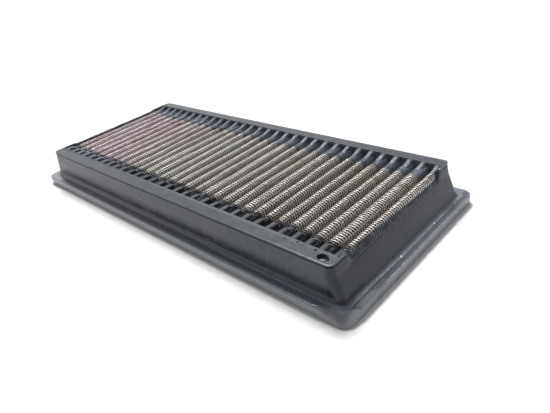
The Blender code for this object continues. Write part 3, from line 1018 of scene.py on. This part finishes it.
def shaded_opening(s, base, comb):
    """The colour with painted shade and light on the fingers and their pockets, in the void and on the
    right end wall.
    """
    x, y, z = s.xyz
    black = (0.008, 0.009, 0.012)
    # Painted shade at the front: the fingers' sides and the pockets below the rim are painted near
    # black, less dark to the left. Painted light at the rear: they are painted a pale flecked grey
    # there, though they lie in the rear wall's shade.
    inside = s.times(comb, s.fade(z, HEIGHT - 0.25 * MM, HEIGHT - 0.95 * MM))
    front = s.mix(s.fade(x, -110 * MM, -20 * MM), (0.11, 0.122, 0.148), black)
    flecks = s.fade(s.noise(1.3 * MM, 4.0, 0.7), 0.48, 0.62)
    rear = s.mix(flecks, (0.08, 0.09, 0.11), (0.30, 0.33, 0.38))
    base = s.mix(inside, base, s.mix(s.fade(y, -20 * MM, 20 * MM), front, rear))
    # Painted shade: the casting void by the front right corner is painted black inside; the mask is
    # not limited below, so it also darkens the frame under the void down to the underside.
    painted_void_shade = s.times(s.fade(x, 127.5 * MM, 128 * MM), s.fade(x, 135.5 * MM, 135 * MM))
    painted_void_shade = s.times(painted_void_shade, s.fade(y, -57.3 * MM, -57 * MM))
    painted_void_shade = s.times(painted_void_shade, s.fade(z, HEIGHT - 0.3 * MM, HEIGHT - 0.7 * MM))
    base = s.mix(s.times(painted_void_shade, s.fade(y, 0.0, -MM)), base, black)
    # Painted shade: the right end wall is painted darker, most towards the front.
    end_wall = s.times(s.fade(x, 133 * MM, 137 * MM), s.fade(z, 26.6 * MM, 25.8 * MM))
    end_wall = s.times(end_wall, s.fade(z, 7.0 * MM, 8.0 * MM))
    end_wall = s.times(end_wall, s.fade(y, -40 * MM, 40 * MM, 0.75, 0.45))
    return s.mix(end_wall, base, (0.006, 0.007, 0.009))


def urethane_material():
    """Satin moulded urethane: slate, mottled, with scuffs along its edges and fine pores, and painted
    shade and light on the flange, by the comb, in the void and on the right end wall.
    """
    s = Shading("moulded_urethane_skin")
    x, y, z = s.xyz
    mottle = s.noise(7 * MM, 5.0, 0.62)
    fine = s.noise(0.8 * MM, 4.0, 0.6)
    base = s.mix(s.fade(mottle, 0.34, 0.66), (0.030, 0.034, 0.043), (0.046, 0.052, 0.064))
    base = dust_and_painted_light(s, scuffed(s, base), mottle)
    comb = s.calc("LESS_THAN", s.calc("ABSOLUTE", y), OPENING_HALF + 0.6 * MM)
    comb = s.times(comb, s.calc("LESS_THAN", s.calc("ABSOLUTE", x), RIM_HALF_X - MM))
    base = shaded_opening(s, base, comb)
    pores = s.node("TexVoronoi", {"Vector": s.place, "Scale": 1 / (1.7 * MM), "Randomness": 1.0})
    pore = s.fade(pores.outputs["Distance"], 0.12, 0.05)
    pore = s.times(pore, s.fade(s.noise(5 * MM, 2.0), 0.52, 0.60))
    base = s.mix(pore, base, (0.015, 0.015, 0.017))
    rough = s.linear(mottle, 0.14, s.linear(fine, 0.08, 0.14))
    rough = s.plus(rough, s.times(comb, s.fade(x, -60 * MM, 40 * MM, 0.42, 0.28)))
    bent = s.times(s.fade(x, 138 * MM, 142 * MM), s.fade(y, -40 * MM, -44 * MM))
    rough = s.plus(rough, s.times(bent, s.fade(z, 10 * MM, 8 * MM, 0.0, 0.3)))
    normal = s.bump(mottle, 0.12 * MM, 0.3)
    normal = s.bump(s.minus(fine, pore), 0.03 * MM, 0.4, normal)
    return s.set(Base_Color=base, Roughness=rough, Normal=normal, Specular_Tint=COLD)


def soaked_material(name, deep, light, fading=1.0):
    """Black urethane that has soaked into the cloth: glossier, with the lumps of what lies under it.

    fading is how much of its paleness on the left it keeps on the right.
    """
    s = Shading(name)
    x, _, _ = s.xyz
    patch = s.noise(5 * MM, 4.0, 0.6)
    fine = s.noise(0.7 * MM, 4.0, 0.65)
    base = s.mix(s.fade(patch, 0.38, 0.68), deep, light)
    base = s.mix(s.fade(x, -110 * MM, 60 * MM, 0.0, 1.0 - fading), base, (0.0, 0.0, 0.0))
    dust = s.fade(s.noise(1.5 * MM, 5.0, 0.7), 0.56, 0.70)
    base = s.mix(s.times(dust, 0.45), base, s.mix(0.6, base, (0.42, 0.43, 0.45)))
    rough = s.linear(patch, 0.3, s.linear(fine, 0.2, 0.10))
    normal = s.bump(patch, 0.3 * MM, 0.5)
    normal = s.bump(fine, 0.10 * MM, 0.7, normal)
    return s.set(Base_Color=base, Roughness=rough, Normal=normal, Specular_Tint=COLD)


def floor_material():
    """Almost white, with a faint unevenness."""
    s = Shading("plain_pale_floor")
    tone = s.fade(s.noise(0.5, 2.0), 0.3, 0.7)
    base = s.mix(tone, (0.86, 0.86, 0.86), (0.88, 0.88, 0.88))
    return s.set(Base_Color=base, Roughness=0.7)


# ---------------------------------------------------------------- stage


def floor(mat, radius=6.0, sides=64):
    """A pale disc just below the filter."""
    angles = 2 * math.pi * np.arange(sides) / sides
    rim = radius * np.stack([np.cos(angles), np.sin(angles), np.zeros(sides)], 1)
    obj = mesh_object("floor", rim, [np.arange(sides)[None]], mat, smooth=False)
    obj.location.z = -0.05 * MM


def soft_sun(name, toward, strength, degrees):
    """A distant light of that angular width, shining from the direction toward."""
    light = bpy.data.lights.new(name, "SUN")
    light.energy = strength
    light.angle = math.radians(degrees)
    obj = bpy.data.objects.new(name, light)
    obj.rotation_mode = "QUATERNION"
    obj.rotation_quaternion = Vector(toward).to_track_quat("Z", "Y")
    bpy.context.scene.collection.objects.link(obj)


def soft_world(strength, bright, share):
    """Pale surroundings, brighter towards one side and towards the horizon."""
    world = bpy.data.worlds.new("studio")
    bpy.context.scene.world = world
    world.use_nodes = True
    tree = world.node_tree
    background = tree.nodes["Background"]
    coords = tree.nodes.new("ShaderNodeTexCoord")
    level = strength
    sideways = (bright, 1 - share, 1 + share)
    upwards = ((0, 0, 1), 2.3, 0.3)
    for direction, low, high in (sideways, upwards):
        dot = tree.nodes.new("ShaderNodeVectorMath")
        dot.operation = "DOT_PRODUCT"
        dot.inputs[1].default_value = Vector(direction).normalized()
        tree.links.new(coords.outputs["Generated"], dot.inputs[0])
        ramp = tree.nodes.new("ShaderNodeMapRange")
        ramp.inputs["From Min"].default_value = -1.0
        ramp.inputs["To Min"].default_value = low
        ramp.inputs["To Max"].default_value = high
        tree.links.new(dot.outputs["Value"], ramp.inputs["Value"])
        product = tree.nodes.new("ShaderNodeMath")
        product.operation = "MULTIPLY"
        for socket, value in zip(product.inputs, (ramp.outputs["Result"], level)):
            if isinstance(value, float):
                socket.default_value = value
            else:
                tree.links.new(value, socket)
        level = product.outputs[0]
    tree.links.new(level, background.inputs["Strength"])
    background.inputs["Color"].default_value = (1.0, 1.0, 1.0, 1.0)


def photo_camera():
    """The camera of the photograph: its angle, roll, distance and lens."""
    azimuth, elevation, roll = math.radians(47.27), math.radians(30.73), math.radians(-9.578)
    distance, lens = 0.32175, 31.83
    target = Vector((0.04701, -0.00047, 0.0))
    back = Vector(
        (
            math.sin(azimuth) * math.cos(elevation),
            -math.cos(azimuth) * math.cos(elevation),
            math.sin(elevation),
        )
    )
    right = Vector((0, 0, 1)).cross(back).normalized()
    up = back.cross(right)
    turned_right = math.cos(roll) * right + math.sin(roll) * up
    turned_up = -math.sin(roll) * right + math.cos(roll) * up
    camera = bpy.data.cameras.new("camera")
    camera.lens = lens
    camera.sensor_width = 36.0
    camera.clip_start = 0.01
    obj = bpy.data.objects.new("camera", camera)
    rotation = Matrix((turned_right, turned_up, back)).transposed().to_4x4()
    obj.matrix_world = Matrix.Translation(target + back * distance) @ rotation
    bpy.context.scene.collection.objects.link(obj)
    bpy.context.scene.camera = obj
    sharpest = bpy.data.objects.new("sharpest_place", None)
    sharpest.location = (60 * MM, -15 * MM, HEIGHT)
    bpy.context.scene.collection.objects.link(sharpest)
    camera.dof.use_dof = True
    camera.dof.focus_object = sharpest
    camera.dof.aperture_fstop = 40.0


# ---------------------------------------------------------------- build


def build():
    wire = wire_material()
    gauze = gauze_material()
    urethane = urethane_material()
    soaked = soaked_material("soaked_urethane", (0.13, 0.146, 0.18), (0.20, 0.222, 0.27), 0.42)
    # Painted light: the rear skin is painted a pale grey-blue, though it lies in the rear wall's
    # shade.
    film = soaked_material("thin_film_painted_light_urethane", (0.30, 0.335, 0.40), (0.44, 0.485, 0.56), 0.7)
    skin = soaked_material("end_skin_urethane", (0.018, 0.020, 0.026), (0.040, 0.045, 0.056))
    dusty = soaked_material("dusty_soaked_urethane", (0.20, 0.185, 0.19), (0.30, 0.28, 0.285))
    cured = soaked_material("cured_potting_urethane", (0.12, 0.134, 0.164), (0.19, 0.21, 0.25))

    woven_screen("upper_screen", SCREEN_OFFSET, wire, 6, "upper_wire_screen")
    woven_screen("lower_screen", -SCREEN_OFFSET, wire, 4, "lower_wire_screen", halves=1)
    ply_steps = (1.2 * MM, 1.6 * MM, 1.6 * MM, 1.0 * MM)
    ply_rows = (24, 20, 20, 30)
    for number, (offset, step, rows) in enumerate(zip(PLY_OFFSETS, ply_steps, ply_rows), start=1):
        gauze_ply(number, offset, gauze, step, rows)

    moulded_frame(urethane)
    comb_fingers(urethane)
    bead(cured)
    soaked_edge("front_soaked_edge", -1, SOAK_FRONT, soaked)
    soaked_edge("rear_soaked_edge", 1, SOAK_REAR, film)
    soaked_edge("front_soaked_edge_below", -1, SOAK_FRONT, soaked, lower=True)
    soaked_edge("rear_soaked_edge_below", 1, SOAK_FRONT, soaked, lower=True)
    soaked_end("left_soaked_flank", -1, dusty)
    soaked_end("right_soaked_flank", 1, skin)
    for name in ("front_edge_potting", "rear_edge_potting"):
        node = frame["nodes"][name]
        node.data.materials.clear()
        node.data.materials.append(cured)

    floor(floor_material())
    soft_world(0.66, (-0.6, 0.8, 0.0), 0.65)
    soft_sun("key", (-0.50, 0.40, 1.0), 3.4, 17.0)
    photo_camera()
    bpy.context.scene.view_settings.view_transform = "Standard"


build()
